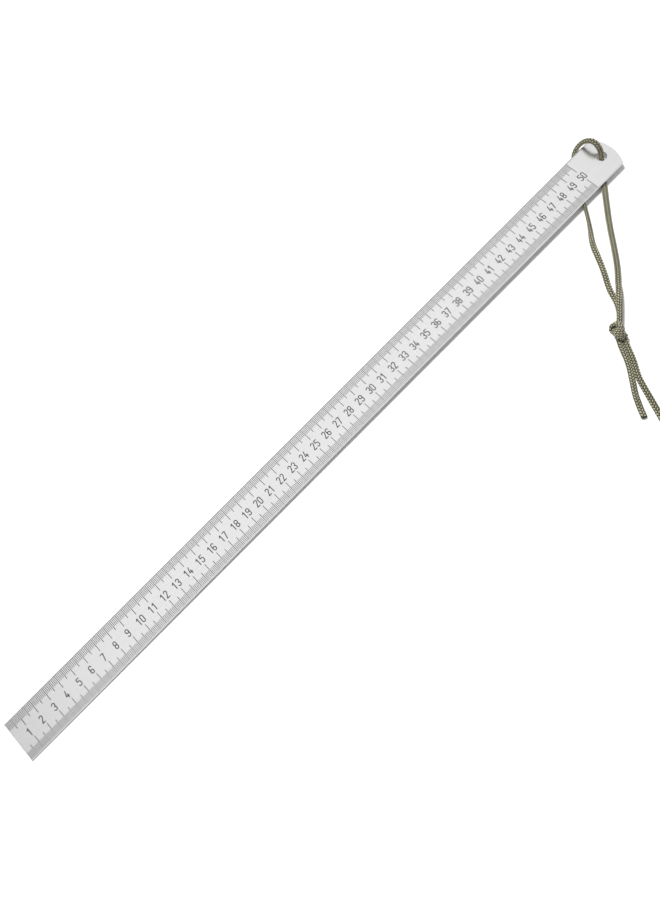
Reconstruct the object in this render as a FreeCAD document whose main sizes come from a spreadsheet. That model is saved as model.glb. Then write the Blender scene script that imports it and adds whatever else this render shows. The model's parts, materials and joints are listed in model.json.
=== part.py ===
# Half-metre steel ruler with a braided cord tied through its hanging hole.
#
# The ruler lies face up on a level surface, z = 0. The cord passes under its tail, so the blade
# rests on the lower edge of its zero end and slopes up by a fraction of a degree towards the hole.
# The origin is the middle of the blade's outline on that surface: +X runs along the scale from
# zero to 500, +Y runs across it, and the figures read upright with +Y up.

import FreeCAD, Part
import math
import os
import Sketcher

V = FreeCAD.Vector

# Driving dimensions: alias, millimetres, meaning.
DIMENSIONS = [
    ("scale_length", 500.0, "graduated length, from the zero end to the last line"),
    ("tail_length", 29.0, "plain blade from the last line to the crown of its rounded end"),
    ("blade_width", 28.0, "blade, edge to edge"),
    ("blade_thickness", 1.0, "blade, face to face"),
    ("end_radius", 24.5, "radius of the tail's rounded end"),
    ("edge_break", 0.12, "chamfer of the lower face's outline and of the upper face's ends"),
    ("bevel_width", 0.8, "bevel along both long edges of the upper face"),
    ("bevel_depth", 0.22, "drop of that bevel at the blade's edge"),
    ("hole_diameter", 6.5, "hanging hole"),
    ("hole_inset", 9.5, "centre of the hanging hole to the crown of the end"),
    ("hole_chamfer", 0.4, "chamfer of the hanging hole, on both faces"),
    ("fine_line", 0.3, "width of a millimetre line"),
    ("bold_line", 0.38, "width of a 5 mm or 10 mm line"),
    ("mark_thickness", 0.03, "height of the black fill above the face"),
    ("millimetre_line", 4.7, "length of a millimetre line"),
    ("half_centimetre_line", 6.8, "length of a 5 mm line"),
    ("centimetre_line", 9.0, "length of a 10 mm line"),
    ("figure_height", 5.2, "height of a figure"),
    ("figure_width", 2.5, "width of a figure"),
    ("figure_stroke", 0.58, "width of a figure's stroke"),
    ("figure_gap", 0.5, "gap between the two digits of a figure"),
    ("figure_drop", 0.4, "figures stand this far below the centre line"),
    ("figure_back", 0.3, "figures of two digits stand this far before their line"),
    ("lone_figure_back", 0.9, "figures of one digit stand this far before their line"),
    ("cord_diameter", 3.0, "cord"),
    ("cord_room", 0.65, "gap between the cord and the blade that lies over it, at the hole"),
    ("knot_length", 12.6, "knot, along the cord"),
    ("knot_width", 10.6, "knot, across the cord"),
    ("knot_height", 6.2, "knot, above the surface"),
]

# Each route is a list of points: X and Y from the centre of the hanging hole, and the height of
# the cord's centre above the place where it lies on the surface (0 = resting on it).
# The two strands are one cord and share a straight line through the hole.
FRONT_ROUTE = [
    (0.0, 0.0, 2.65),
    (0.78, 1.3, 4.68),
    (0.8, 4.0, 8.1),
    (0.7, 8.6, 10.3),
    (0.0, 13.8, 7.8),
    (-2.3, 16.5, 3.8),
    (-6.4, 16.6, 0.4),
    (-10.2, 14.0, 0.0),
    (-16.4, 8.2, 0.0),
    (-25.8, -3.4, 0.0),
    (-34.2, -15.8, 0.0),
    (-42.6, -26.4, 0.0),
    (-52.0, -36.2, 0.0),
    (-57.4, -46.3, 0.0),
    (-62.8, -55.2, 0.0),
    (-69.8, -64.6, 0.0),
    (-73.6, -74.0, 0.0),
    (-78.8, -80.5, 0.0),
    (-85.6, -85.0, 0.0),
]
BACK_ROUTE = [
    (0.0, 0.0, 2.65),
    (-1.02, -1.87, 0.0),
    (-5.4, -5.8, 0.0),
    (-13.2, -14.0, 0.0),
    (-26.0, -27.0, 0.0),
    (-35.2, -36.8, 0.0),
    (-44.2, -47.4, 0.0),
    (-53.6, -58.0, 0.0),
    (-62.4, -66.0, 0.2),
    (-70.2, -72.0, 3.0),
    (-76.6, -77.4, 3.8),
    (-82.0, -82.0, 3.6),
    (-86.6, -85.4, 3.0),
]
SHORT_TAIL_ROUTE = [
    (-92.2, -90.2, 0.0),
    (-95.8, -95.8, 0.0),
    (-100.6, -105.0, 0.0),
    (-108.7, -114.8, 0.0),
    (-115.8, -123.1, 0.0),
    (-121.8, -134.2, 0.0),
]
LONG_TAIL_ROUTE = [
    (-89.2, -92.0, 0.0),
    (-92.6, -97.3, 0.0),
    (-97.3, -106.1, 0.0),
    (-103.6, -114.2, 0.0),
    (-107.0, -121.8, 0.0),
    (-111.2, -132.0, 0.0),
    (-117.2, -146.1, 0.0),
]
KNOT_CENTRE = (-89.4, -87.5)
KNOT_HEADING = 221.0  # degrees from +X to the way the cord runs through the knot
ARC_SHARE = 0.45  # part of the shorter run that each arc of a cord's path takes

doc = FreeCAD.newDocument("SteelRuler")
sheet = doc.addObject("Spreadsheet::Sheet", "Dimensions")
for row, (alias, value, meaning) in enumerate(DIMENSIONS, start=1):
    sheet.set(f"A{row}", alias)
    sheet.set(f"B{row}", str(value))
    sheet.set(f"C{row}", meaning)
    sheet.setAlias(f"B{row}", alias)
doc.recompute()

# Places that several pieces share, worked out from the sheet.
blade_length = sheet.scale_length + sheet.tail_length
hole_from_zero = blade_length - sheet.hole_inset
underside_at_hole = sheet.cord_diameter + sheet.cord_room
tilt = math.degrees(math.asin(underside_at_hole / hole_from_zero))
blade_placement = FreeCAD.Placement(
    V(-blade_length / 2 * math.cos(math.radians(tilt)), 0, 0),
    FreeCAD.Rotation(V(0, 1, 0), -tilt),
)
hole_centre = blade_placement.multVec(V(hole_from_zero, 0, sheet.blade_thickness / 2))


def origin_plane(body, role):
    """The body's own origin plane with that role, such as XY_Plane."""
    return next(item for item in body.Origin.OriginFeatures if item.Role == role)


def flat_sketch(body, name, role="XY_Plane"):
    """An empty sketch on one of the body's own origin planes."""
    sketch = body.newObject("Sketcher::SketchObject", name)
    sketch.AttachmentSupport = [(origin_plane(body, role), "")]
    sketch.MapMode = "FlatFace"
    return sketch


def drive(sketch, name, constraint, expression):
    """Adds a named dimension to a sketch and binds it to the sheet."""
    index = sketch.addConstraint(constraint)
    sketch.renameConstraint(index, name)
    sketch.setExpression(f"Constraints.{name}", expression)


def draw_outline(sketch):
    """The blade's outline: square at x = 0, and an arc about the centre line at its tail."""
    half = sheet.blade_width / 2
    arc_centre = blade_length - sheet.end_radius
    half_angle = math.asin(half / sheet.end_radius)
    shoulder = arc_centre + sheet.end_radius * math.cos(half_angle)
    circle = Part.Circle(V(arc_centre, 0, 0), V(0, 0, 1), sheet.end_radius)
    lower, tail, upper, zero = sketch.addGeometry([
        Part.LineSegment(V(0, -half, 0), V(shoulder, -half, 0)),
        Part.ArcOfCircle(circle, -half_angle, half_angle),
        Part.LineSegment(V(shoulder, half, 0), V(0, half, 0)),
        Part.LineSegment(V(0, half, 0), V(0, -half, 0)),
    ], False)
    sketch.addConstraint([
        Sketcher.Constraint("Coincident", lower, 2, tail, 1),
        Sketcher.Constraint("Coincident", tail, 2, upper, 1),
        Sketcher.Constraint("Coincident", upper, 2, zero, 1),
        Sketcher.Constraint("Coincident", zero, 2, lower, 1),
        Sketcher.Constraint("Horizontal", lower),
        Sketcher.Constraint("Horizontal", upper),
        Sketcher.Constraint("PointOnObject", tail, 3, -1),
        Sketcher.Constraint("PointOnObject", lower, 1, -2),
        Sketcher.Constraint("Symmetric", zero, 1, zero, 2, -1),
    ])
    drive(sketch, "width", Sketcher.Constraint("DistanceY", zero, 2, zero, 1, sheet.blade_width),
          "Dimensions.blade_width")
    drive(sketch, "end_radius", Sketcher.Constraint("Radius", tail, sheet.end_radius),
          "Dimensions.end_radius")
    drive(sketch, "arc_centre", Sketcher.Constraint("DistanceX", -1, 1, tail, 3, arc_centre),
          "Dimensions.scale_length + Dimensions.tail_length - Dimensions.end_radius")


def draw_hole(sketch):
    """The hanging hole's circle, on the centre line."""
    circle = Part.Circle(V(hole_from_zero, 0, 0), V(0, 0, 1), sheet.hole_diameter / 2)
    hole = sketch.addGeometry(circle, False)
    sketch.addConstraint(Sketcher.Constraint("PointOnObject", hole, 3, -1))
    drive(sketch, "diameter", Sketcher.Constraint("Diameter", hole, sheet.hole_diameter),
          "Dimensions.hole_diameter")
    drive(sketch, "from_zero", Sketcher.Constraint("DistanceX", -1, 1, hole, 3, hole_from_zero),
          "Dimensions.scale_length + Dimensions.tail_length - Dimensions.hole_inset")


def draw_bevels(sketch):
    """The two corners cut off the blade's section, seen from its end: sketch x is row y."""
    for side, name in ((1, "upper"), (-1, "lower")):
        half = side * sheet.blade_width / 2
        edge = V(half, sheet.blade_thickness - sheet.bevel_depth, 0)
        inner = V(half - side * sheet.bevel_width, sheet.blade_thickness, 0)
        corner = V(half, sheet.blade_thickness, 0)
        slope, face, wall = sketch.addGeometry([
            Part.LineSegment(edge, inner),
            Part.LineSegment(inner, corner),
            Part.LineSegment(corner, edge),
        ], False)
        sketch.addConstraint([
            Sketcher.Constraint("Coincident", slope, 2, face, 1),
            Sketcher.Constraint("Coincident", face, 2, wall, 1),
            Sketcher.Constraint("Coincident", wall, 2, slope, 1),
            Sketcher.Constraint("Horizontal", face),
            Sketcher.Constraint("Vertical", wall),
        ])
        drive(sketch, f"{name}_width", Sketcher.Constraint("Distance", face, sheet.bevel_width),
              "Dimensions.bevel_width")
        drive(sketch, f"{name}_depth", Sketcher.Constraint("Distance", wall, sheet.bevel_depth),
              "Dimensions.bevel_depth")
        drive(sketch, f"{name}_edge",
              Sketcher.Constraint("DistanceX", -1, 1, wall, 1, half),
              f"{side} * Dimensions.blade_width / 2")
        drive(sketch, f"{name}_face",
              Sketcher.Constraint("DistanceY", -1, 1, wall, 1, sheet.blade_thickness),
              "Dimensions.blade_thickness")


def cut_through(body, name, sketch, expected):
    """Cuts a sketch through the whole body, and checks that the cut took what it should."""
    before = body.Shape.Volume
    pocket = body.newObject("PartDesign::Pocket", name)
    pocket.Profile = sketch
    pocket.Type = "ThroughAll"
    pocket.Reversed = True
    doc.recompute()
    if abs(before - body.Shape.Volume - expected) > 0.02 * expected:
        raise RuntimeError(f"{name} doesn't take the volume it should")
    return pocket


def add_chamfer(body, name, base, edge_names, size):
    """A chamfer on the named edges of the body's last feature, bound to the sheet."""
    chamfer = body.newObject("PartDesign::Chamfer", name)
    chamfer.Base = (base, edge_names)
    chamfer.setExpression("Size", size)
    doc.recompute()
    return chamfer


def is_hole_rim(edge):
    """Tells whether an edge is a rim of the hanging hole."""
    is_circle = isinstance(edge.Curve, Part.Circle)
    return is_circle and abs(edge.Curve.Radius - sheet.hole_diameter / 2) < 1e-6


def is_outline(edge):
    """Tells whether an edge is on the outline of the lower face, or of the upper one's ends."""
    box = edge.BoundBox
    is_end = box.YLength > sheet.blade_width / 2
    return box.ZLength < 1e-6 and (is_end or (box.ZMax < 1e-6 and edge.Length > box.YLength))


def edges_where(shape, test):
    """The names of the edges of a shape that pass a test."""
    return [f"Edge{number}" for number, edge in enumerate(shape.Edges, start=1) if test(edge)]


def make_blade():
    """The steel strip: padded outline, hanging hole, and its chamfers."""
    body = doc.addObject("PartDesign::Body", "Blade")
    body.Label = "blade"

    outline = flat_sketch(body, "BladeOutline")
    draw_outline(outline)
    strip = body.newObject("PartDesign::Pad", "BladeStrip")
    strip.Profile = outline
    strip.setExpression("Length", "Dimensions.blade_thickness")
    doc.recompute()

    circle = flat_sketch(body, "HangingHole")
    draw_hole(circle)
    drilled = math.pi * (sheet.hole_diameter / 2) ** 2 * sheet.blade_thickness
    hole = cut_through(body, "HangingHoleCut", circle, drilled)

    add_chamfer(body, "HoleChamfer", hole, edges_where(hole.Shape, is_hole_rim),
                "Dimensions.hole_chamfer")

    corners = flat_sketch(body, "BevelSection", "YZ_Plane")
    draw_bevels(corners)
    long_edges = 2 * (blade_length - sheet.end_radius + math.sqrt(
        sheet.end_radius ** 2 - (sheet.blade_width / 2) ** 2))
    bevels = cut_through(body, "BevelCut", corners,
                         sheet.bevel_width * sheet.bevel_depth / 2 * long_edges)

    add_chamfer(body, "EdgeBreak", bevels, edges_where(bevels.Shape, is_outline),
                "Dimensions.edge_break")
    body.Placement = blade_placement
    return body


def make_marks(label, solids):
    """A group of black fill solids, made in the blade's own frame and laid on its face."""
    marks = doc.addObject("Part::Feature", label.title().replace("_", ""))
    marks.Label = label
    marks.Shape = Part.makeCompound(solids)
    marks.Placement = blade_placement
    return marks


def line_pair(distance, width, length):
    """The two lines at one distance from zero, each running in from an edge of the face."""
    inset = sheet.blade_width / 2 - sheet.bevel_width
    left = distance - width / 2
    corner_heights = (inset - length, -inset)
    return [Part.makeBox(width, length, sheet.mark_thickness,
                         V(left, y, sheet.blade_thickness)) for y in corner_heights]


def make_graduations():
    """Millimetre, 5 mm and 10 mm lines along both edges, each kind in a group of its own."""
    millimetres, halves, centimetres = [], [], []
    for distance in range(1, int(sheet.scale_length) + 1):
        if distance % 10 == 0:
            centimetres += line_pair(distance, sheet.bold_line, sheet.centimetre_line)
        elif distance % 5 == 0:
            halves += line_pair(distance, sheet.bold_line, sheet.half_centimetre_line)
        else:
            millimetres += line_pair(distance, sheet.fine_line, sheet.millimetre_line)
    return [
        make_marks("millimetre_marks", millimetres),
        make_marks("half_centimetre_marks", halves),
        make_marks("centimetre_marks", centimetres),
    ]


def stroke_line(start, end):
    """A straight stroke with round ends, between two points of the figure's plane."""
    width, depth = sheet.figure_stroke, sheet.mark_thickness
    across = (end - start).cross(V(0, 0, 1)).normalize() * (width / 2)
    corners = [start + across, end + across, end - across, start - across, start + across]
    bar = Part.Face(Part.makePolygon(corners)).extrude(V(0, 0, depth))
    return [bar] + [Part.makeCylinder(width / 2, depth, tip) for tip in (start, end)]


def stroke_arc(centre, radius, first, last):
    """A stroke along an arc, anticlockwise from one angle to another, with round ends."""
    width, depth = sheet.figure_stroke, sheet.mark_thickness
    disc = Part.makeCylinder(radius + width / 2, depth, centre, V(0, 0, 1), last - first)
    core = Part.makeCylinder(radius - width / 2, depth, centre, V(0, 0, 1), 360)
    disc.rotate(centre, V(0, 0, 1), first)
    angles = [math.radians(angle) for angle in (first, last)]
    tips = [centre + V(math.cos(angle), math.sin(angle), 0) * radius for angle in angles]
    return [disc.cut(core)] + [Part.makeCylinder(width / 2, depth, tip) for tip in tips]


def digit_solids():
    """One solid for each digit, on the centre lines of a plain round-ended engraver's figure."""
    r = (sheet.figure_width - sheet.figure_stroke) / 2
    top = (sheet.figure_height - sheet.figure_stroke) / 2
    low = -top
    brow = top - r
    chin = low + r

    def line(x1, y1, x2, y2):
        return stroke_line(V(x1, y1, 0), V(x2, y2, 0))

    def arc(y, first, last):
        return stroke_arc(V(0, y, 0), r, first, last)

    # The slanted stroke of the 2 leaves its upper curve along a tangent.
    slant = math.degrees(math.atan2(low - brow, -r) + math.acos(r / math.hypot(r, low - brow)))
    slant_x = r * math.cos(math.radians(slant))
    slant_y = brow + r * math.sin(math.radians(slant))
    belt = 0.12 * sheet.figure_height  # top of the 5's bowl
    bar = -0.2 * sheet.figure_height  # crossbar of the 4
    strokes = {
        "0": arc(brow, 0, 180) + line(-r, brow, -r, chin) + arc(chin, 180, 360) + line(r, chin, r, brow),
        "1": line(0.2 * r, low, 0.2 * r, top) + line(0.2 * r, top, -0.8 * r, top - r),
        "2": arc(brow, slant, 170) + line(slant_x, slant_y, -r, low) + line(-r, low, r, low),
        "3": arc(brow, 0, 165) + line(r, brow, r, r) + arc(r, 270, 360)
             + arc(-r, 0, 90) + line(r, -r, r, chin) + arc(chin, 195, 360),
        "4": line(0.1 * r, top, -r, bar) + line(-r, bar, r, bar) + line(0.45 * r, 0, 0.45 * r, low),
        "5": line(r, top, -0.8 * r, top) + line(-0.8 * r, top, -0.9 * r, belt)
             + line(-0.9 * r, belt, 0, belt) + arc(belt - r, 0, 90)
             + line(r, belt - r, r, chin) + arc(chin, 195, 360),
        "6": arc(brow, 15, 180) + line(-r, brow, -r, chin) + arc(chin, 180, 360)
             + line(r, chin, r, -r) + arc(-r, 0, 180),
        "7": line(-r, top, r, top) + line(r, top, -0.3 * r, low),
        "8": arc(brow, 0, 180) + line(-r, brow, -r, r) + line(r, brow, r, r) + arc(r, 180, 360)
             + arc(-r, 0, 180) + line(-r, -r, -r, chin) + line(r, -r, r, chin) + arc(chin, 180, 360),
    }
    solids = {}
    for digit, pieces in strokes.items():
        solids[digit] = pieces[0].multiFuse(pieces[1:]).removeSplitter()
    solids["9"] = solids["6"].copy()
    solids["9"].rotate(V(0, 0, 0), V(0, 0, 1), 180)
    return solids


def make_numerals():
    """The centimetre figures, each just before its line, between the two scales."""
    digits = digit_solids()
    pitch = sheet.figure_width + sheet.figure_gap
    placed = []
    for centimetre in range(1, int(sheet.scale_length) // 10 + 1):
        figure = str(centimetre)
        back = sheet.lone_figure_back if len(figure) == 1 else sheet.figure_back
        first = 10 * centimetre - back - pitch * (len(figure) - 1) / 2
        for place, digit in enumerate(figure):
            solid = digits[digit].copy()
            solid.translate(V(first + place * pitch, -sheet.figure_drop, sheet.blade_thickness))
            placed += solid.Solids
    return make_marks("numerals", placed)


def cord_path(points):
    """Straight runs joined by tangent arcs, as one wire, and the radius of each arc."""
    edges, radii = [], []
    run_start = points[0]
    for before, corner, after in zip(points, points[1:], points[2:]):
        heading_in = (corner - before).normalize()
        heading_out = (after - corner).normalize()
        half_turn = heading_in.getAngle(heading_out) / 2
        reach = ARC_SHARE * min(corner.distanceToPoint(before), corner.distanceToPoint(after))
        radius = reach / math.tan(half_turn)
        arc_start = corner - heading_in * reach
        arc_end = corner + heading_out * reach
        inward = (heading_out - heading_in).normalize()
        arc_middle = corner + inward * (radius / math.cos(half_turn) - radius)
        edges.append(Part.LineSegment(run_start, arc_start).toShape())
        edges.append(Part.Arc(arc_start, arc_middle, arc_end).toShape())
        radii.append(radius)
        run_start = arc_end
    edges.append(Part.LineSegment(run_start, points[-1]).toShape())
    return Part.Wire(edges), radii


def make_cord(label, route):
    """A round tube along a route, swept as one solid."""
    lift = sheet.cord_diameter / 2
    points = [V(hole_centre.x + x, y, lift + height) for x, y, height in route]
    wire, radii = cord_path(points)
    name = label.title().replace("_", "")
    path = doc.addObject("Part::Feature", name + "Path")
    path.Shape = wire

    section = doc.addObject("Part::Circle", name + "Section")
    section.setExpression("Radius", "Dimensions.cord_diameter / 2")
    heading = points[1] - points[0]
    section.Placement = FreeCAD.Placement(points[0], FreeCAD.Rotation(V(0, 0, 1), heading))

    cord = doc.addObject("Part::Sweep", name)
    cord.Label = label
    cord.Sections = [section]
    cord.Spine = (path, [f"Edge{number + 1}" for number in range(len(wire.Edges))])
    cord.Solid = True
    cord.Frenet = False
    doc.recompute()
    expected = math.pi * lift ** 2 * wire.Length
    if abs(cord.Shape.Volume - expected) > 0.01 * expected:
        raise RuntimeError(f"{label}: the tube's volume isn't its section times its length")
    shown = ", ".join(f"{radius:.1f}" for radius in radii)
    print(f"{label}: {wire.Length:.1f} mm long, arc radii {shown}")
    return cord


def make_knot():
    """The outer shape of the overhand knot: a flattened ball that rests on the surface."""
    knot = doc.addObject("Part::Ellipsoid", "Knot")
    knot.Label = "knot"
    knot.setExpression("Radius1", "Dimensions.knot_height / 2")
    knot.setExpression("Radius2", "Dimensions.knot_length / 2")
    knot.setExpression("Radius3", "Dimensions.knot_width / 2")
    place = V(hole_centre.x + KNOT_CENTRE[0], KNOT_CENTRE[1], sheet.knot_height / 2)
    knot.Placement = FreeCAD.Placement(place, FreeCAD.Rotation(V(0, 0, 1), KNOT_HEADING))
    return knot


def write_parts(pieces):
    """Checks every object and every sub-part's shape, then writes one STEP file for each."""
    doc.recompute()
    for item in doc.Objects:
        if "Invalid" in item.State or "Error" in item.State:
            raise RuntimeError(f"{item.Name} failed to compute")
    for piece in pieces:
        if piece.Shape.isNull() or not piece.Shape.isValid() or not piece.Shape.Solids:
            raise RuntimeError(f"{piece.Label} has no valid solid")
    os.makedirs("parts", exist_ok=True)
    for piece in pieces:
        piece.Shape.exportStep(os.path.join("parts", piece.Label + ".step"))
        print(f"{piece.Label}: {len(piece.Shape.Solids)} solids, {piece.Shape.Volume:.2f} mm3")


pieces = [make_blade()]
pieces += make_graduations()
pieces.append(make_numerals())
pieces.append(make_cord("front_strand", FRONT_ROUTE))
pieces.append(make_cord("back_strand", BACK_ROUTE))
pieces.append(make_knot())
pieces.append(make_cord("short_tail", SHORT_TAIL_ROUTE))
pieces.append(make_cord("long_tail", LONG_TAIL_ROUTE))
write_parts(pieces)
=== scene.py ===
"""Half-metre steel ruler with its braided hanging cord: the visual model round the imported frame."""

import json
import math

import bpy
import numpy as np
from mathutils import Matrix, Vector


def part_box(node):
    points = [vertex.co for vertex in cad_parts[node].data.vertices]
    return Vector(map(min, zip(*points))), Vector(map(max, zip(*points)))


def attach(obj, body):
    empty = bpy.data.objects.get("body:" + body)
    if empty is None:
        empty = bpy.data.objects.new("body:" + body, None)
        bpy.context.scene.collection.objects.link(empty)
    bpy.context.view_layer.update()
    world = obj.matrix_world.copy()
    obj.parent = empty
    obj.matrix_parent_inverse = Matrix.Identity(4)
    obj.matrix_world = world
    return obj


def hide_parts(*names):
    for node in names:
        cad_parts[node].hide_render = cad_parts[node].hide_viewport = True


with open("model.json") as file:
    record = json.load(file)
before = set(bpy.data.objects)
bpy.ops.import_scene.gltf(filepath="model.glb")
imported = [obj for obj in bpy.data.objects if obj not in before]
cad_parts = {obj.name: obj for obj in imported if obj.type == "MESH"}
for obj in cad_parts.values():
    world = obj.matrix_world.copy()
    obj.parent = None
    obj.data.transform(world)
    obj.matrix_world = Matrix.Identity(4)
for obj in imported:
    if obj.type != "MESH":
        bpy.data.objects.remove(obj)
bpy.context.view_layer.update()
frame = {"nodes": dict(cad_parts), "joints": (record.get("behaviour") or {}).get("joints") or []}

MM = 0.001
scene = bpy.context.scene


def add_object(name, data):
    """A new object of the scene."""
    item = bpy.data.objects.new(name, data)
    scene.collection.objects.link(item)
    return item


# ------------------------------------------------------------------ camera

CAMERA_PLACE = Vector((-65.16, -143.0, 465.01)) * MM
CAMERA_RIGHT = Vector((0.7009, -0.7031, -0.1205))
CAMERA_FORWARD = Vector((0.1122, 0.2755, -0.9547))


def make_camera():
    """The camera fitted to the photograph, which looks down on the ruler from the zero end's side."""
    data = bpy.data.cameras.new("camera")
    data.sensor_fit = "AUTO"
    data.sensor_width = 36.0
    data.lens = 31.18
    data.clip_start = 0.01
    forward = CAMERA_FORWARD.normalized()
    up = CAMERA_RIGHT.normalized().cross(forward).normalized()
    right = forward.cross(up).normalized()
    camera = add_object("camera", data)
    camera.matrix_world = Matrix.Translation(CAMERA_PLACE) @ Matrix((
        (right.x, up.x, -forward.x),
        (right.y, up.y, -forward.y),
        (right.z, up.z, -forward.z),
    )).to_4x4()
    return camera


scene.camera = make_camera()

# ------------------------------------------------------------------ cord routes

HOLE = Vector(frame["joints"][0]["pos_m"])
REST_HEIGHT = 1.5 * MM  # the route's heights count from a cord that lies on the floor

# Points from the middle of the hanging hole, in metres; the third number is the height. They are
# part.py's, with one more at each knot end, so that the end is hidden in the knot.
FRONT_ROUTE = [
    (0.0, 0.0, 0.00265),
    (0.00078, 0.0013, 0.00468),
    (0.0008, 0.0040, 0.0081),
    (0.0007, 0.0086, 0.0103),
    (0.0, 0.0138, 0.0078),
    (-0.0023, 0.0165, 0.0038),
    (-0.0064, 0.0166, 0.0004),
    (-0.0102, 0.0140, 0.0),
    (-0.0164, 0.0082, 0.0),
    (-0.0258, -0.0034, 0.0),
    (-0.0342, -0.0158, 0.0),
    (-0.0426, -0.0264, 0.0),
    (-0.0520, -0.0362, 0.0),
    (-0.0574, -0.0463, 0.0),
    (-0.0628, -0.0552, 0.0),
    (-0.0698, -0.0646, 0.0),
    (-0.0736, -0.0740, 0.0),
    (-0.0788, -0.0805, 0.0),
    (-0.0856, -0.0850, 0.0006),
    (-0.0900, -0.0880, 0.0018),
]
BACK_ROUTE = [
    (0.0, 0.0, 0.00265),
    (-0.00102, -0.00187, 0.0),
    (-0.0054, -0.0058, 0.0),
    (-0.0132, -0.0140, 0.0),
    (-0.0260, -0.0270, 0.0),
    (-0.0352, -0.0368, 0.0),
    (-0.0442, -0.0474, 0.0),
    (-0.0536, -0.0580, 0.0),
    (-0.0624, -0.0660, 0.0002),
    (-0.0702, -0.0720, 0.0030),
    (-0.0766, -0.0774, 0.0038),
    (-0.0820, -0.0820, 0.0036),
    (-0.0866, -0.0854, 0.0030),
    (-0.0890, -0.0872, 0.0022),
]
SHORT_TAIL_ROUTE = [
    (-0.0906, -0.0884, 0.0010),
    (-0.0922, -0.0902, 0.0),
    (-0.0958, -0.0958, 0.0),
    (-0.1006, -0.1050, 0.0),
    (-0.1087, -0.1148, 0.0),
    (-0.1158, -0.1231, 0.0),
    (-0.1218, -0.1342, 0.0),
]
LONG_TAIL_ROUTE = [
    (-0.0884, -0.0898, 0.0010),
    (-0.0892, -0.0920, 0.0),
    (-0.0926, -0.0973, 0.0),
    (-0.0973, -0.1061, 0.0),
    (-0.1036, -0.1142, 0.0),
    (-0.1070, -0.1218, 0.0),
    (-0.1112, -0.1320, 0.0),
    (-0.1172, -0.1461, 0.0),
]


def spline_points(points):
    """Points along the smooth NURBS line that has these control points, in metres."""
    curve = bpy.data.curves.new("route", "CURVE")
    curve.dimensions = "3D"
    spline = curve.splines.new("NURBS")
    spline.points.add(len(points) - 1)
    for target, point in zip(spline.points, points):
        target.co = (*point, 1.0)
    spline.order_u = 3
    spline.use_endpoint_u = True
    spline.resolution_u = 64
    holder = bpy.data.objects.new("route", curve)
    mesh = bpy.data.meshes.new_from_object(holder)
    found = np.array([v.co for v in mesh.vertices], float)
    bpy.data.meshes.remove(mesh)
    bpy.data.objects.remove(holder)
    bpy.data.curves.remove(curve)
    return found


def on_route(route):
    """A route's smooth line in the row frame, from its points round the hole."""
    return spline_points([
        (HOLE.x + x, HOLE.y + y, REST_HEIGHT + height) for x, y, height in route])


# ------------------------------------------------------------------ lines and frames

STEP = 0.13 * MM  # between two rings of a cord's mesh
FLAT_SIDE = (0.6, -0.8, 0.0)  # where the flat cord's width starts out, at the first point of a line


def evenly(points):
    """The same line with points about one step apart, and the distance of each along it."""
    gaps = np.linalg.norm(np.diff(points, axis=0), axis=1)
    points = points[np.concatenate([[True], gaps > 1e-9])]
    gaps = np.linalg.norm(np.diff(points, axis=0), axis=1)
    along = np.concatenate([[0.0], np.cumsum(gaps)])
    wanted = np.linspace(0.0, along[-1], max(2, int(round(along[-1] / STEP)) + 1))
    return np.stack([np.interp(wanted, along, points[:, k]) for k in range(3)], 1), wanted


def eased(values, passes):
    """Values along a line with their sudden changes spread out, the two ends kept."""
    for _ in range(passes):
        values[1:-1] = (values[:-2] + 2 * values[1:-1] + values[2:]) / 4
    return values


def headings(points):
    """The unit tangent at each point of a line."""
    tangents = np.gradient(points, axis=0)
    return tangents / np.linalg.norm(tangents, axis=1)[:, None]


def carried_frames(points):
    """Tangent, side and top of each point, the side carried along without twist."""
    tangents = headings(points)
    sides = np.empty_like(tangents)
    side = np.asarray(FLAT_SIDE, float)
    for index, tangent in enumerate(tangents):
        side = side - tangent * side.dot(tangent)
        side /= np.linalg.norm(side)
        sides[index] = side
    return tangents, sides, np.cross(sides, tangents)


def facing_frames(points, centre):
    """Tangent, side and top of each point, the top turned away from a centre."""
    tangents = headings(points)
    sides = eased(np.cross(tangents, points - np.asarray(centre)), 200)
    sides -= tangents * (sides * tangents).sum(1)[:, None]
    sides /= np.linalg.norm(sides, axis=1)[:, None]
    return tangents, sides, np.cross(sides, tangents)


# ------------------------------------------------------------------ braided cord

CORD_WIDTH = 4.2 * MM
CORD_THICKNESS = 2.4 * MM
OVAL_POWER = 0.86  # below 1 the flattened oval gets flatter sides
YARNS = 6  # in each of the two directions round the cord
STITCH = 1.9 * MM  # one diamond of the braid, along the cord
RELIEF = 0.46 * MM  # from the crevices of the braid to the crowns of its yarns
SURFACE = 0.62  # share of the relief that lies below the cord's mean surface
YARN_SPREAD = 1.94  # 2 would let a yarn fill its whole lane
DIP = 0.6  # share of a yarn's height that it loses where it goes under
RING_POINTS = 60
SEAL_LENGTH = 0.9 * MM  # of a cut end's melted stretch
SEAL_SHRINK = 0.16
SEALED_CAP = ((0.82, 0.16), (0.5, 0.24))  # share of the rim's size, and bulge in millimetres
PLAIN_CAP = ((0.55, 0.0),)
MOST_DROP = 0.9 * MM  # a cord is let down on the floor by this much at most
LOOSE_HEIGHT = 3.0 * MM  # above this its centre isn't let down at all


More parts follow.
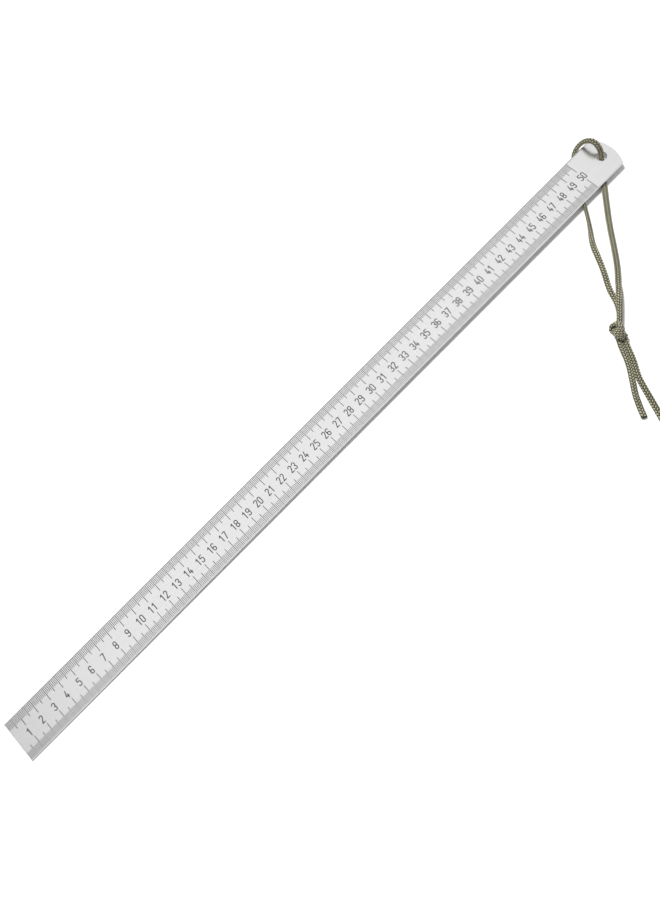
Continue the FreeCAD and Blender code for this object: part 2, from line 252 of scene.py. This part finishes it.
def oval(width, thickness):
    """Even steps round a flattened oval: positions and outward normals in its plane."""
    turn = np.linspace(0, 2 * math.pi, 721)
    x = width / 2 * np.sign(np.cos(turn)) * np.abs(np.cos(turn)) ** OVAL_POWER
    y = thickness / 2 * np.sign(np.sin(turn)) * np.abs(np.sin(turn)) ** OVAL_POWER
    length = np.concatenate([[0.0], np.cumsum(np.hypot(np.diff(x), np.diff(y)))])
    wanted = np.arange(RING_POINTS) / RING_POINTS * length[-1]
    ring = np.stack([np.interp(wanted, length, x), np.interp(wanted, length, y)], 1)
    ahead = np.roll(ring, -1, 0) - np.roll(ring, 1, 0)
    normal = np.stack([ahead[:, 1], -ahead[:, 0]], 1)
    return ring, normal / np.linalg.norm(normal, axis=1)[:, None]


def braid_relief(around, along):
    """The braid's yarns, each over two and under two: for each point its height from 0 to 1, where
    it lies across and along its yarn, and the yarn's number."""
    first = around * YARNS + along
    second = around * YARNS - along
    first_yarn, second_yarn = np.floor(first), np.floor(second)
    first_on_top = (first_yarn + second_yarn) % 4 < 2
    across = np.where(first_on_top, first - first_yarn, second - second_yarn) - 0.5
    lengthwise = np.where(first_on_top, (second + first_yarn) % 4 - 1,
                          (first + second_yarn) % 4 - 3) / 2
    crown = np.sqrt(np.clip(1 - (YARN_SPREAD * across) ** 2, 0, 1))
    arch = (1 - DIP) + DIP * np.cos(math.pi * lengthwise) ** 0.7
    yarn = np.where(first_on_top, first_yarn % YARNS, YARNS + second_yarn % YARNS)
    return crown * arch, across, lengthwise, yarn


def laid_down(rings, points):
    """Rings of a cord let down to the floor where they are near it, and flattened against it."""
    drop = eased(np.clip(rings[..., 2].min(axis=1), 0.0, MOST_DROP), 40)
    drop *= np.clip((LOOSE_HEIGHT - points[:, 2]) / MM, 0.0, 1.0)
    rings[..., 2] -= drop[:, None]
    rings[..., 2] = np.maximum(rings[..., 2], 0.0)
    return rings


def capped_mesh(name, rings, tangents, levels_of_caps, layers):
    """A closed mesh from rings of points, with rounded caps, and the layers as point attributes. A
    layer is a name, its values for the rings, and one value for the caps."""
    rows, count = rings.shape[:2]
    vertices = rings.reshape(-1, 3)
    index = np.arange(rows * count).reshape(rows, count)
    after = np.roll(index, -1, axis=1)
    walls = np.stack([index[:-1], index[1:], after[1:], after[:-1]], -1).reshape(-1, 4)
    faces = [walls]
    added = []
    ends = ((index[0][::-1], 0, -tangents[0]), (index[-1], -1, tangents[-1]))
    for (rim, row, heading), levels in zip(ends, levels_of_caps):
        centre = rings[row].mean(axis=0)
        previous = rim
        for shrink, bulge in levels:
            new = len(vertices) + len(added) + np.arange(count)
            added.extend(centre + (vertices[rim] - centre) * shrink + heading * bulge * MM)
            faces.append(np.stack(
                [previous, new, np.roll(new, -1), np.roll(previous, -1)], -1))
            previous = new
        tip = len(vertices) + len(added)
        added.append(centre + heading * levels[-1][1] * MM)
        faces.append(np.stack(
            [np.roll(previous, -1), previous, np.full(count, tip)], -1))

    mesh = bpy.data.meshes.new(name)
    mesh.from_pydata([tuple(v) for v in (*vertices, *added)], [],
                     [tuple(int(i) for i in face) for group in faces for face in group])
    for key, values, cap_value in layers:
        layer = mesh.attributes.new(key, "FLOAT", "POINT")
        caps = np.full(len(added), cap_value)
        layer.data.foreach_set("value", np.concatenate([values.reshape(-1), caps]).astype(np.float32))
    mesh.shade_smooth()
    mesh.update()
    return mesh


def braided(name, line, rolls=((0, 0),), widths=((0, 1),), thicknesses=((0, 1),), is_cut=False,
            start=0.0, centre=None, aside=0.0):
    """A closed mesh of hollow braid along a line, and the line's points. Rolls are degrees, widths
    and thicknesses shares of the cord's, each keyed by the share of the length. A cut far end is
    sealed dark. Start shifts the braid along the cord. With a centre, the flat side faces away from
    it, and the cord runs aside from the line."""
    points, along = evenly(line)
    share = along / along[-1]
    if centre is None:
        tangents, sides, tops = carried_frames(points)
    else:
        tangents, sides, tops = facing_frames(points, centre)
        points = points + sides * aside

    def keyed(keys):
        return eased(np.interp(share, [k[0] for k in keys], [k[1] for k in keys]), 60)

    roll = np.radians(keyed(rolls))[:, None]
    across = sides * np.cos(roll) + tops * np.sin(roll)
    upward = -sides * np.sin(roll) + tops * np.cos(roll)

    ring, normal = oval(CORD_WIDTH - RELIEF, CORD_THICKNESS - RELIEF)
    around = (np.arange(RING_POINTS) + 0.5) / RING_POINTS
    height, off_centre, lengthwise, yarn = braid_relief(
        around[None, :], (along[:, None] + start) / STITCH)
    relief = (height - SURFACE) * RELIEF
    flat_x = ring[:, 0] * keyed(widths)[:, None] + normal[:, 0] * relief
    flat_y = ring[:, 1] * keyed(thicknesses)[:, None] + normal[:, 1] * relief
    rings = laid_down(points[:, None, :] + across[:, None, :] * flat_x[..., None]
                      + upward[:, None, :] * flat_y[..., None], points)

    seal = np.clip(1 - (along[-1] - along) / SEAL_LENGTH, 0, 1) * is_cut
    middle = rings.mean(axis=1)[:, None, :]
    rings += (middle - rings) * (SEAL_SHRINK * seal ** 2)[:, None, None]

    mesh = capped_mesh(name, rings, tangents, (PLAIN_CAP, SEALED_CAP if is_cut else PLAIN_CAP), (
        ("across", off_centre, 0.0),
        ("lengthwise", lengthwise, 0.0),
        # the height also sets the painted shade and painted highlight in the braid's colour
        ("height", height, 0.0),
        ("yarn", np.broadcast_to(yarn, height.shape).astype(float), 0.0),
        ("seal", np.repeat(seal, RING_POINTS), float(is_cut)),
    ))
    return add_object(name, mesh), points


def stands_for(piece, node):
    """Lets a piece of cord take a CAD node's place and body."""
    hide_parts(node)
    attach(piece, "cord")


# Both strands run from the knot to the hole, and the tails run from the knot to their cut ends.
front_cord, front_path = braided(
    "front_cord", on_route(FRONT_ROUTE)[::-1],
    rolls=((0, 30), (0.1, 25), (0.3, 15), (0.42, 45), (0.5, 80), (0.6, 80), (0.75, 0), (1, 0)),
    widths=((0, 0.8), (0.15, 0.9), (0.35, 0.96), (0.5, 0.9), (0.72, 0.86), (0.8, 0.82),
            (0.88, 0.83), (0.93, 1.08), (0.97, 1.08), (1, 0.9)))
back_cord, back_path = braided(
    "back_cord", on_route(BACK_ROUTE)[::-1],
    rolls=((0, 40), (0.12, 50), (0.25, -8), (0.6, -12), (0.92, -5), (0.98, 37), (1, 37)),
    widths=((0, 0.8), (0.2, 1.05), (0.85, 1.14), (0.97, 0.9), (1, 0.9)))
short_tail_cord, short_path = braided(
    "short_tail_cord", on_route(SHORT_TAIL_ROUTE),
    rolls=((0, 35), (0.5, 20), (1, 8)), is_cut=True)
long_tail_cord, long_path = braided(
    "long_tail_cord", on_route(LONG_TAIL_ROUTE),
    rolls=((0, -35), (0.5, -20), (1, 8)), is_cut=True)

stands_for(front_cord, "front_strand")
stands_for(back_cord, "back_strand")
stands_for(short_tail_cord, "short_tail")
stands_for(long_tail_cord, "long_tail")

# ------------------------------------------------------------------ knot

KNOT_HEADING = math.radians(221.0)  # from +X to the way the cord runs through the knot
KNOT_LIFT = 3.2 * MM  # the middle of the knot above the floor
# Along the cord, across it, and up from the knot's middle, in millimetres.
KNOT_ROUTE = [
    (-5.2, -0.9, -0.8), (-4.0, -1.1, -0.2), (-1.6, -1.4, 1.0), (0.0, -1.6, 2.0), (1.6, -1.3, 2.7),
    (3.2, -0.1, 3.1), (4.2, 1.6, 2.6), (4.4, 3.2, 1.2), (3.6, 3.7, -0.6), (2.4, 2.8, -1.8),
    (1.2, 1.4, -2.0), (-0.2, -0.2, -2.0), (-1.5, -1.9, -2.0), (-2.8, -3.2, -1.5),
    (-4.0, -3.7, -0.1), (-4.5, -2.8, 1.7), (-3.9, -1.0, 2.9), (-2.6, 0.5, 3.1), (-1.1, 1.4, 2.6),
    (0.5, 1.6, 1.7), (2.2, 1.3, 0.8), (3.8, 1.1, -0.2), (5.0, 1.0, -0.8),
]
STRAND_APART = 1.25 * MM  # each of the two strands from the knot's line
KNOT_SHIFT = 0.7 * MM  # of the right strand's braid, so that the two don't look alike


def knot_cords():
    """The two strands of the overhand knot, side by side along one line."""
    low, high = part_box("knot")
    middle = Vector(((low.x + high.x) / 2, (low.y + high.y) / 2, KNOT_LIFT))
    along = Vector((math.cos(KNOT_HEADING), math.sin(KNOT_HEADING), 0))
    sideways = Vector((-along.y, along.x, 0))
    line = spline_points([
        tuple(middle + along * (x * MM) + sideways * (y * MM) + Vector((0, 0, z * MM)))
        for x, y, z in KNOT_ROUTE])
    return [
        braided(name, line, widths=((0, 0.68),), thicknesses=((0, 0.92),), start=start,
                centre=tuple(middle), aside=aside)[0]
        for name, aside, start in (("knot_cord_left", -STRAND_APART, 0.0),
                                   ("knot_cord_right", STRAND_APART, KNOT_SHIFT))]


knot_pieces = knot_cords()
for piece in knot_pieces:
    stands_for(piece, "knot")

# ------------------------------------------------------------------ material helpers


class Nodes:
    """A material's node tree, with short calls to add and join nodes."""

    def __init__(self, name):
        self.material = bpy.data.materials.new(name)
        self.material.use_nodes = True
        self.tree = self.material.node_tree
        self.shader = self.tree.nodes["Principled BSDF"]

    def set(self, node, socket, value):
        """Links an output to a node's input, or gives the input a value."""
        target = node.inputs[socket]
        if isinstance(value, bpy.types.NodeSocket):
            self.tree.links.new(value, target)
        else:
            target.default_value = value

    def shade(self, socket, value):
        self.set(self.shader, socket, value)

    def add(self, kind, **inputs):
        node = self.tree.nodes.new(kind)
        for socket, value in inputs.items():
            self.set(node, socket, value)
        return node

    def attribute(self, name):
        node = self.add("ShaderNodeAttribute")
        node.attribute_name = name
        return node.outputs["Fac"]

    def math(self, operation, first, second, clamp=False):
        node = self.add("ShaderNodeMath")
        node.operation = operation
        node.use_clamp = clamp
        self.set(node, 0, first)
        self.set(node, 1, second)
        return node.outputs[0]

    def mix(self, *shares):
        """The sum of outputs, each times its share."""
        total = 0.0
        for source, share in shares:
            total = self.math("ADD", total, self.math("MULTIPLY", source, share))
        return total

    def ramp(self, factor, stops):
        node = self.add("ShaderNodeValToRGB", Fac=factor)
        points = node.color_ramp.elements
        while len(points) < len(stops):
            points.new(0.5)
        for point, (position, colour) in zip(points, stops):
            point.position = position
            point.color = (*colour, 1.0)
        return node.outputs["Color"]

    def stretched(self, scale):
        where = self.add("ShaderNodeTexCoord").outputs["Object"]
        return self.add("ShaderNodeMapping", Vector=where, Scale=scale).outputs["Vector"]

    def noise(self, vector, detail, roughness, scale=1.0):
        node = self.add("ShaderNodeTexNoise", Vector=vector, Scale=scale, Detail=detail,
                        Roughness=roughness)
        return node.outputs["Fac"]

    def bump(self, height, strength, distance):
        node = self.add("ShaderNodeBump", Height=height, Strength=strength, Distance=distance)
        self.shade("Normal", node.outputs["Normal"])


def grey(value):
    return (value, value, value)


# ------------------------------------------------------------------ materials


def make_steel():
    """Brushed stainless steel, its streaks along the blade."""
    steel = Nodes("steel")
    streaks = steel.noise(steel.stretched((90, 5200, 5200)), 4.0, 0.6)
    grain = steel.noise(steel.stretched((2600, 3400, 3400)), 2.0, 0.6)
    clouds = steel.noise(steel.stretched((11, 60, 60)), 3.0, 0.5)
    steel.shade("Base Color", steel.ramp(
        steel.mix((streaks, 0.45), (grain, 0.35), (clouds, 0.2)),
        ((0.25, (0.68, 0.685, 0.685)), (0.5, (0.83, 0.832, 0.83)), (0.78, (0.93, 0.93, 0.925)))))
    steel.shade("Metallic", 1.0)
    steel.shade("Roughness", steel.ramp(
        steel.mix((clouds, 0.5), (grain, 0.5)), ((0.3, grey(0.22)), (0.7, grey(0.33)))))
    steel.bump(steel.mix((streaks, 0.7), (grain, 0.3)), 0.35, 0.04 * MM)
    return steel.material


def make_fill():
    """The black fill of the lines and figures, slightly uneven and dull."""
    fill = Nodes("black_fill")
    paint = fill.noise(fill.stretched((1500, 1500, 1500)), 3.0, 0.6)
    fill.shade("Base Color", fill.ramp(paint, ((0.3, grey(0.012)), (0.75, grey(0.045)))))
    fill.shade("Roughness", fill.ramp(paint, ((0.3, grey(0.5)), (0.7, grey(0.7)))))
    fill.bump(paint, 0.3, 0.02 * MM)
    return fill.material


def make_braid():
    """Olive yarns of fine filaments, with painted shade in the braid's crevices and a painted
    highlight on the yarns' crowns, and dark at a sealed end.
    """
    braid = Nodes("olive_braid")
    thread = braid.add(
        "ShaderNodeCombineXYZ",
        X=braid.math("MULTIPLY", braid.attribute("across"), 9.0),
        Y=braid.math("MULTIPLY", braid.attribute("lengthwise"), 1.3),
        Z=braid.math("MULTIPLY", braid.attribute("yarn"), 3.7)).outputs["Vector"]
    filaments = braid.noise(thread, 2.0, 0.5, scale=1.6)
    lint = braid.noise(braid.stretched((900, 900, 900)), 3.0, 0.6)
    patches = braid.noise(braid.stretched((120, 120, 120)), 2.0, 0.5)
    # The yarn's height paints shade into the crevices and where a yarn dives under, and a painted
    # highlight on its crown; filaments, lint and patches are the yarns' own uneven tone
    light = braid.mix(
        (braid.attribute("height"), 0.62), (filaments, 0.2), (lint, 0.1), (patches, 0.12))
    soot = braid.math("MULTIPLY", braid.attribute("seal"), 0.5)
    # The ramp's near-black low stops are painted shade, its pale top stop the painted highlight; the
    # sealed end's darkening is real
    braid.shade("Base Color", braid.ramp(braid.math("SUBTRACT", light, soot, clamp=True), (
        (0.22, (0.005, 0.004, 0.002)), (0.54, (0.030, 0.028, 0.015)),
        (0.69, (0.17, 0.16, 0.10)), (0.83, (0.50, 0.48, 0.34)))))
    braid.shade("Roughness", braid.ramp(filaments, ((0.3, grey(0.62)), (0.7, grey(0.8)))))
    braid.shade("Sheen Weight", 0.25)
    braid.shade("Sheen Roughness", 0.5)
    braid.bump(filaments, 0.6, 0.08 * MM)
    return braid.material


def make_paper():
    """The plain pale floor's finish."""
    paper = Nodes("pale_floor")
    paper.shade("Base Color", (0.93, 0.93, 0.93, 1.0))
    paper.shade("Roughness", 0.9)
    paper.shade("Specular IOR Level", 0.1)
    return paper.material


def finish_with(material, pieces):
    for piece in pieces:
        piece.data.materials.clear()
        piece.data.materials.append(material)


finish_with(make_braid(), (front_cord, back_cord, short_tail_cord, long_tail_cord, *knot_pieces))
finish_with(make_steel(), [frame["nodes"]["blade"]])
finish_with(make_fill(), [frame["nodes"][name] for name in (
    "millimetre_marks", "half_centimetre_marks", "centimetre_marks", "numerals")])

# ------------------------------------------------------------------ floor and light

FLOOR_REACH = 4  # metres from the middle to each edge


def make_floor():
    """A square floor at the height that the cord lies on."""
    mesh = bpy.data.meshes.new("floor")
    corners = ((-1, -1), (1, -1), (1, 1), (-1, 1))
    mesh.from_pydata([(x * FLOOR_REACH, y * FLOOR_REACH, 0) for x, y in corners], [], [(0, 1, 2, 3)])
    floor = add_object("floor", mesh)
    finish_with(make_paper(), [floor])


def make_world(strength):
    """Even white light from all round."""
    world = bpy.data.worlds.new("studio")
    world.use_nodes = True
    background = world.node_tree.nodes["Background"]
    background.inputs["Color"].default_value = (1.0, 1.0, 1.0, 1.0)
    background.inputs["Strength"].default_value = strength
    scene.world = world


def softbox(name, place, target, width, depth, power):
    """A rectangular lamp at a place, turned to a point."""
    data = bpy.data.lights.new(name, "AREA")
    data.shape = "RECTANGLE"
    data.size, data.size_y = width, depth
    data.energy = power
    lamp = add_object(name, data)
    lamp.location = place
    lamp.rotation_euler = (Vector(target) - Vector(place)).to_track_quat("-Z", "Y").to_euler()
    return lamp


make_floor()
make_world(0.45)
overhead = softbox("overhead", (0.35, 0.35, 1.8), (0.35, 0.35, 0.0), 2.9, 2.0, 10.3)
overhead.visible_diffuse = False  # the large box is what the steel mirrors
key = softbox("key", (0.1, 0.72, 1.45), (0.0, 0.0, 0.0), 0.3, 0.3, 30.0)
key.visible_glossy = False  # the small one lights the floor and the cord, and draws the shadows

scene.view_settings.view_transform = "Standard"
scene.view_settings.look = "None"
